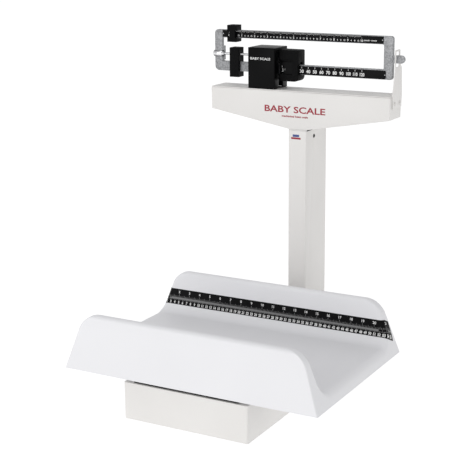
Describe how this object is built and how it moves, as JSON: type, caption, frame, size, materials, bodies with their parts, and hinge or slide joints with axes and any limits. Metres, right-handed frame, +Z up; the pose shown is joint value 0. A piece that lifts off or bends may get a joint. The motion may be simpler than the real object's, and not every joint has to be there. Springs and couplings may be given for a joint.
{
  "type": "infant beam scale",
  "caption": "Infant beam scale: a hollow tray on a levelled lever base, with a column, a weighing beam with two sliding poises, a zero screw and a stop loop.",
  "frame": {"origin": "on the floor, under the middle of the scale's box", "axes": "+Z up, +X along the beam towards its reading end, +Y from the tray towards the column"},
  "size_m": [0.5484, 0.576, 0.7125],
  "materials": {
    "white_enamel": "semi-gloss",
    "white_abs": "satin",
    "black_crinkle": "crinkle",
    "black_plastic": "satin",
    "hammertone": "silver hammertone",
    "chrome": "polished",
    "steel": "ground",
    "cast_iron": "painted casting",
    "rubber": "matte",
    "printed_black": "satin print"
  },
  "bodies": {
    "stand": {"base_housing": "white_enamel", "base_floor_plate": "steel", "foot_front_left": "rubber", "foot_front_right": "rubber", "foot_rear_left": "rubber", "foot_rear_right": "rubber", "column_tube": "white_enamel", "column_cap": "white_enamel", "column_socket": "steel", "head_housing": "white_enamel", "head_top_plate": "white_enamel", "fulcrum_stand": "cast_iron", "fulcrum_bearing_front": "steel", "fulcrum_bearing_rear": "steel", "fulcrum_cover": "black_plastic", "trig_loop_bracket": "white_enamel", "trig_loop_screw_front": "chrome", "trig_loop_screw_rear": "chrome", "shelf_lever_stand": "cast_iron", "long_lever_stand_left": "cast_iron", "long_lever_stand_right": "cast_iron", "short_lever_stand_left": "cast_iron", "short_lever_stand_right": "cast_iron"},
    "beam": {"beam_frame": "hammertone", "upper_scale_plate": "printed_black", "lower_scale_plate": "printed_black", "fulcrum_knife": "steel", "power_knife": "steel"},
    "zero_adjuster": {"zero_screw": "chrome", "zero_knob": "chrome"},
    "balance_weight": {"balance_weight": "black_crinkle"},
    "upper_poise": {"upper_poise": "black_crinkle"},
    "lower_poise": {"lower_poise": "black_crinkle", "lower_poise_pawl": "steel"},
    "beam_link": {"beam_link": "steel"},
    "shelf_lever": {"shelf_lever": "cast_iron", "shelf_power_knife": "steel", "shelf_load_knife": "steel", "shelf_fulcrum_knife": "steel"},
    "draft_rod": {"draft_rod": "steel"},
    "long_lever": {"long_lever": "cast_iron", "long_fulcrum_knife": "steel", "long_load_knife": "steel", "long_middle_knife": "steel", "long_nose_knife": "steel"},
    "nose_link": {"nose_link": "steel"},
    "short_lever": {"short_lever": "cast_iron", "short_fulcrum_knife": "steel", "short_load_knife": "steel", "short_nose_knife": "steel"},
    "platform": {"platform_plate": "black_crinkle", "platform_post_front_left": "cast_iron", "platform_post_front_right": "cast_iron", "platform_post_rear_left": "cast_iron", "platform_post_rear_right": "cast_iron", "tray_rail_front": "rubber", "tray_rail_rear": "rubber", "tray": "white_abs", "measuring_tape": "printed_black"}
  },
  "joints": [
    {"name": "beam_tilt", "type": "hinge", "parent": "stand", "child": "beam", "pos_m": [-0.086, 0.217, 0.648], "axis": [0, 1, 0], "range_deg": [-1.3, 1.3]},
    {"name": "lower_poise_slide", "type": "slide", "parent": "beam", "child": "lower_poise", "axis": [1, 0, 0], "range_m": [0, 0.182]},
    {"name": "upper_poise_slide", "type": "slide", "parent": "beam", "child": "upper_poise", "axis": [1, 0, 0], "range_m": [0, 0.308]},
    {"name": "zero_screw_turn", "type": "hinge", "parent": "beam", "child": "zero_adjuster", "pos_m": [-0.2035, 0.217, 0.6503], "axis": [1, 0, 0], "range_deg": [-3240, 4680]},
    {"name": "balance_weight_slide", "type": "slide", "parent": "beam", "child": "balance_weight", "axis": [1, 0, 0], "range_m": [-0.018, 0.026]},
    {"name": "beam_link_slide", "type": "slide", "parent": "stand", "child": "beam_link", "axis": [0, 0, 1], "range_m": [-0.00043972, 0.00043972]},
    {"name": "shelf_lever_turn", "type": "hinge", "parent": "stand", "child": "shelf_lever", "pos_m": [0.04, 0.217, 0.555], "axis": [0, 1, 0], "range_deg": [-0.17375, 0.17375]},
    {"name": "draft_rod_slide", "type": "slide", "parent": "stand", "child": "draft_rod", "axis": [0, 0, 1], "range_m": [-0.0001213, 0.0001213]},
    {"name": "long_lever_turn", "type": "hinge", "parent": "stand", "child": "long_lever", "pos_m": [0, -0.25, 0.034], "axis": [1, 0, 0], "range_deg": [-0.014882, 0.014882]},
    {"name": "nose_link_slide", "type": "slide", "parent": "stand", "child": "nose_link", "axis": [0, 0, 1], "range_m": [-0.000041378, 0.000041378]},
    {"name": "short_lever_turn", "type": "hinge", "parent": "stand", "child": "short_lever", "pos_m": [0, 0.0686, 0.017], "axis": [1, 0, 0], "range_deg": [-0.014882, 0.014882]},
    {"name": "platform_slide", "type": "slide", "parent": "stand", "child": "platform", "axis": [0, 0, 1], "range_m": [-0.00002078, 0.00002078]}
  ],
  "couplings": [
    {"joint": "zero_screw_turn", "follows": "balance_weight_slide", "rad_per_m": 3141.6},
    {"joint": "beam_link_slide", "follows": "beam_tilt", "m_per_rad": 0.019},
    {"joint": "shelf_lever_turn", "follows": "beam_tilt", "ratio": 0.13103},
    {"joint": "draft_rod_slide", "follows": "beam_tilt", "m_per_rad": 0.0052414},
    {"joint": "long_lever_turn", "follows": "beam_tilt", "ratio": 0.011224},
    {"joint": "nose_link_slide", "follows": "beam_tilt", "m_per_rad": 0.0017879},
    {"joint": "short_lever_turn", "follows": "beam_tilt", "ratio": -0.011224},
    {"joint": "platform_slide", "follows": "beam_tilt", "m_per_rad": 0.00089788}
  ]
}
